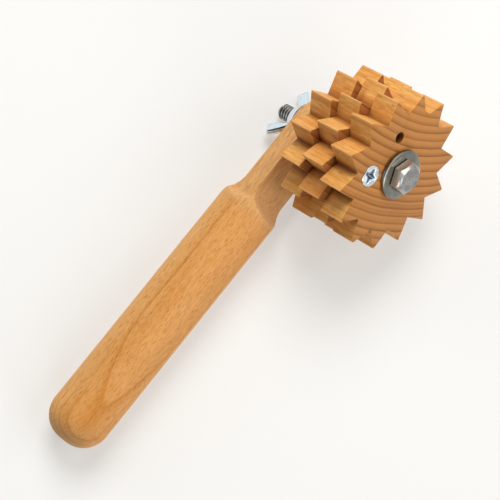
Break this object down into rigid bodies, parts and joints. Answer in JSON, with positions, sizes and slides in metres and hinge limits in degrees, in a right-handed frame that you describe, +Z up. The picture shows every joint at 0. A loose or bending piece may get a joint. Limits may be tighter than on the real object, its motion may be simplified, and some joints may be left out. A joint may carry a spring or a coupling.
{
  "type": "clay texture wheel",
  "caption": "Hand roller for texturing clay: a staggered toothed wooden wheel spinning on a hex bolt through the flat neck of a round wooden handle, held by a wing nut.",
  "frame": {"origin": "on the bench under the middle of the tool's bounding box", "axes": "+X along the handle from its free end towards the wheel, +Y towards the wing nut's side, +Z up from the bench the tool lies on"},
  "size_m": [0.1786, 0.0674, 0.0655],
  "materials": {
    "handle_wood": "bare beech, sanded smooth, short dark flecks along the grain",
    "disc_wood": "bare beech, sawn teeth, growth rings on the faces",
    "steel": "plain steel, slightly dull",
    "zinc": "bright bluish zinc plate"
  },
  "bodies": {
    "handle_and_axle": {"handle": "handle_wood", "axle_bolt": "steel", "front_washer": "steel", "inner_washer": "steel", "jam_nut": "zinc"},
    "wheel": {"front_disc": "disc_wood", "middle_disc": "disc_wood", "back_disc": "disc_wood", "lock_screw": "zinc"},
    "washer": {"rear_washer": "steel"},
    "nut": {"wing_nut": "zinc"}
  },
  "joints": [
    {"name": "wheel_spin", "type": "hinge", "parent": "handle_and_axle", "child": "wheel", "pos_m": [0.05933, -0.00212, 0.03273], "axis": [0, 0.7467, -0.6652], "continuous": true},
    {"name": "washer_back_off", "type": "slide", "parent": "handle_and_axle", "child": "washer", "axis": [0, 0.7467, -0.6652], "range_m": [0, 0.00762]},
    {"name": "wing_nut_turn", "type": "hinge", "parent": "washer", "child": "nut", "pos_m": [0.05933, 0.02566, 0.00798], "axis": [0, -0.7467, 0.6652], "range_deg": [0, 2160]}
  ],
  "couplings": [
    {"joint": "washer_back_off", "follows": "wing_nut_turn", "m_per_rad": 0.00020213}
  ]
}
